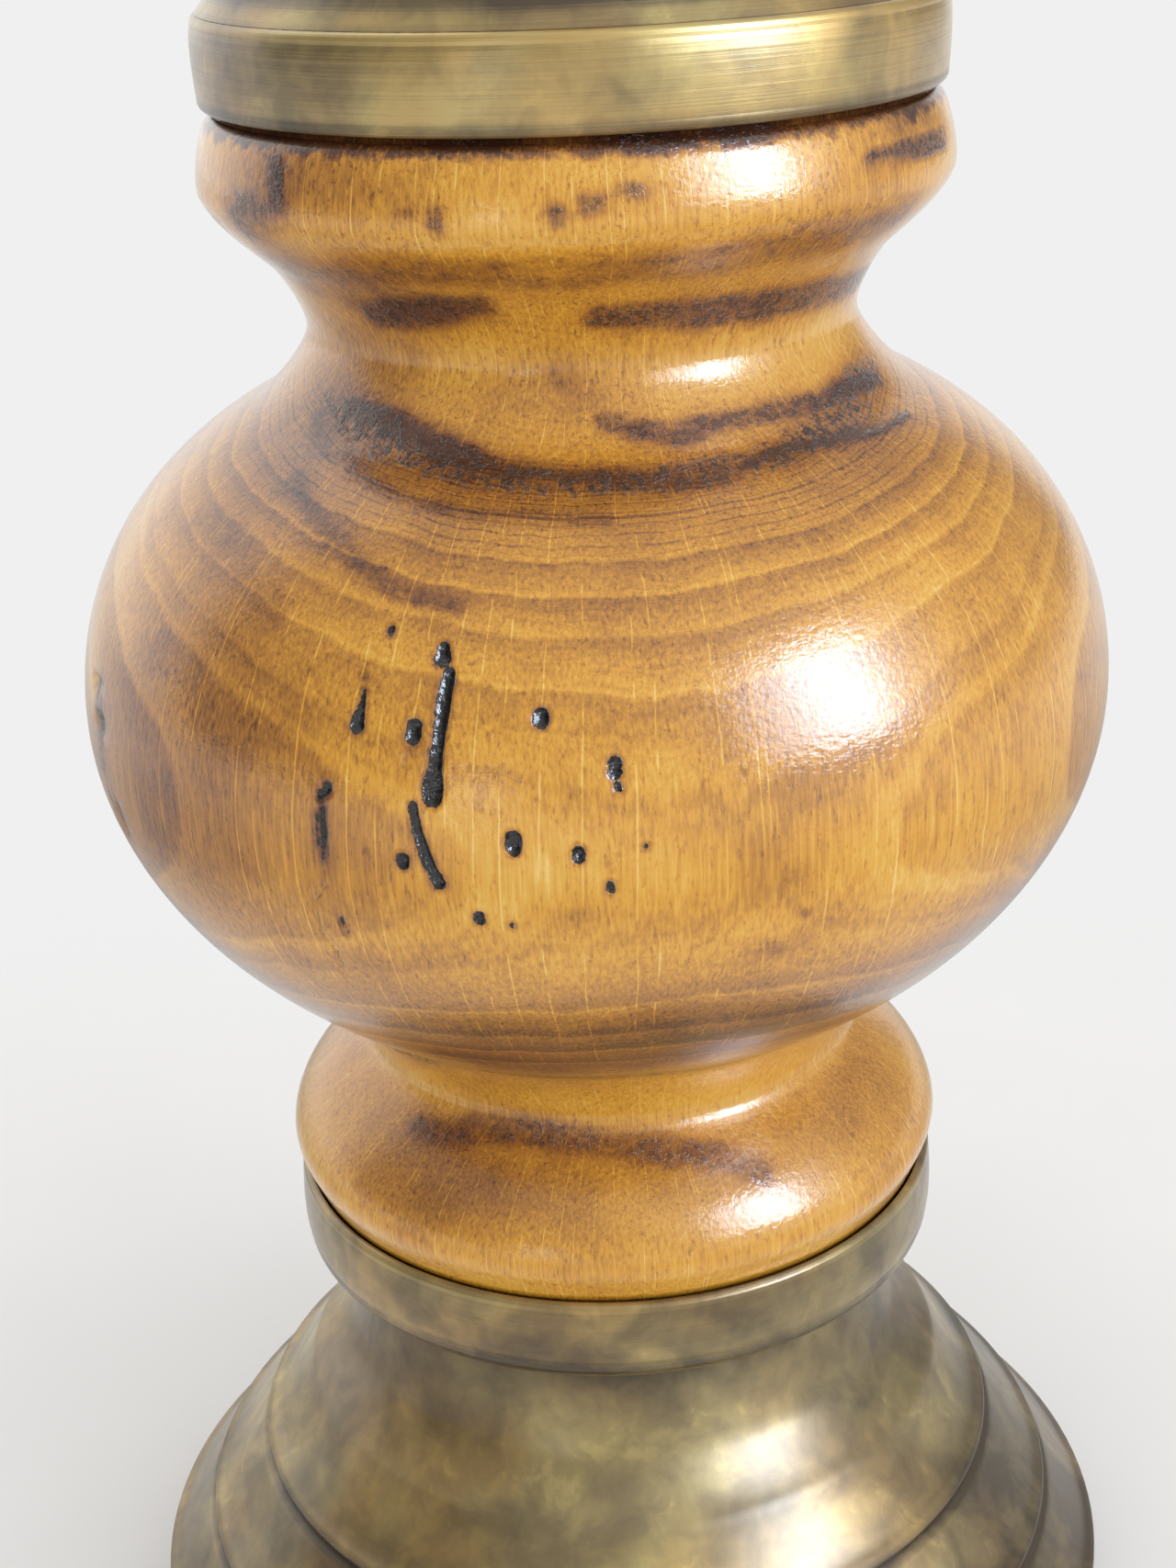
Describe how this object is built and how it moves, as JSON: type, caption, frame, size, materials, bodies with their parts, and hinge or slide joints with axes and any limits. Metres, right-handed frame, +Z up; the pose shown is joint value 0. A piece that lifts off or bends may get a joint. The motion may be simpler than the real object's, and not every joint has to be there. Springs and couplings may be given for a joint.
{
  "type": "table lamp",
  "caption": "Turned wood baluster table lamp with spun brass cups, a stepped brass bell base, a brass stem, a screw socket with a turn switch, a lift-off harp and a ball finial.",
  "frame": {"origin": "on the floor under the lamp's axis, in the middle of the felt pad's underside", "axes": "+Z up the lamp's axis, +Y towards the cord inlet at the back, so the switch faces -Y and the harp lies in the X-Z plane"},
  "size_m": [0.1506, 0.1522, 0.6361],
  "materials": {
    "wood": "amber stain under gloss lacquer, worm holes filled dark",
    "brass": "antiqued satin, brown in the turned lines and worn bright at the edges",
    "socket_brass": "brass-plated, satin",
    "steel": "zinc-plated",
    "cast_iron": "as cast, painted black",
    "felt": "brown felt",
    "phenolic": "moulded phenolic, dark brown",
    "black_plastic": "moulded, matt",
    "liner_paper": "vulcanised fibre"
  },
  "bodies": {
    "lamp": {"felt_pad": "felt", "base_weight": "cast_iron", "rod_nut": "steel", "lock_washer": "steel", "base_bell": "brass", "cord_bushing": "black_plastic", "lower_cup": "brass", "turned_wood_body": "wood", "upper_cup": "brass", "shoulder_bell": "brass", "knop": "brass", "column": "brass", "crown_cap": "brass", "center_rod": "steel", "stack_nut": "brass", "harp_saddle": "brass", "socket_cap": "socket_brass", "set_screw": "steel", "socket_body": "phenolic", "terminal_screws": "socket_brass", "screw_shell": "socket_brass", "centre_contact": "socket_brass", "socket_liner": "liner_paper", "socket_shell": "socket_brass", "harp_wire_left": "brass", "harp_wire_right": "brass", "harp_hub": "brass", "harp_stud": "brass"},
    "switch": {"switch_shaft": "socket_brass", "switch_knob": "phenolic"},
    "sleeve_left": {"harp_sleeve_left": "brass"},
    "sleeve_right": {"harp_sleeve_right": "brass"},
    "finial": {"finial": "brass"}
  },
  "joints": [
    {"name": "switch_turn", "type": "hinge", "parent": "lamp", "child": "switch", "pos_m": [0, -0.02, 0.4152], "axis": [0, -1, 0], "continuous": true},
    {"name": "sleeve_left_lift", "type": "slide", "parent": "lamp", "child": "sleeve_left", "axis": [0, 0, 1], "range_m": [0, 0.016]},
    {"name": "sleeve_right_lift", "type": "slide", "parent": "lamp", "child": "sleeve_right", "axis": [0, 0, 1], "range_m": [0, 0.016]},
    {"name": "finial_turn", "type": "hinge", "parent": "lamp", "child": "finial", "pos_m": [0, 0, 0.61], "axis": [0, 0, 1], "continuous": true}
  ]
}
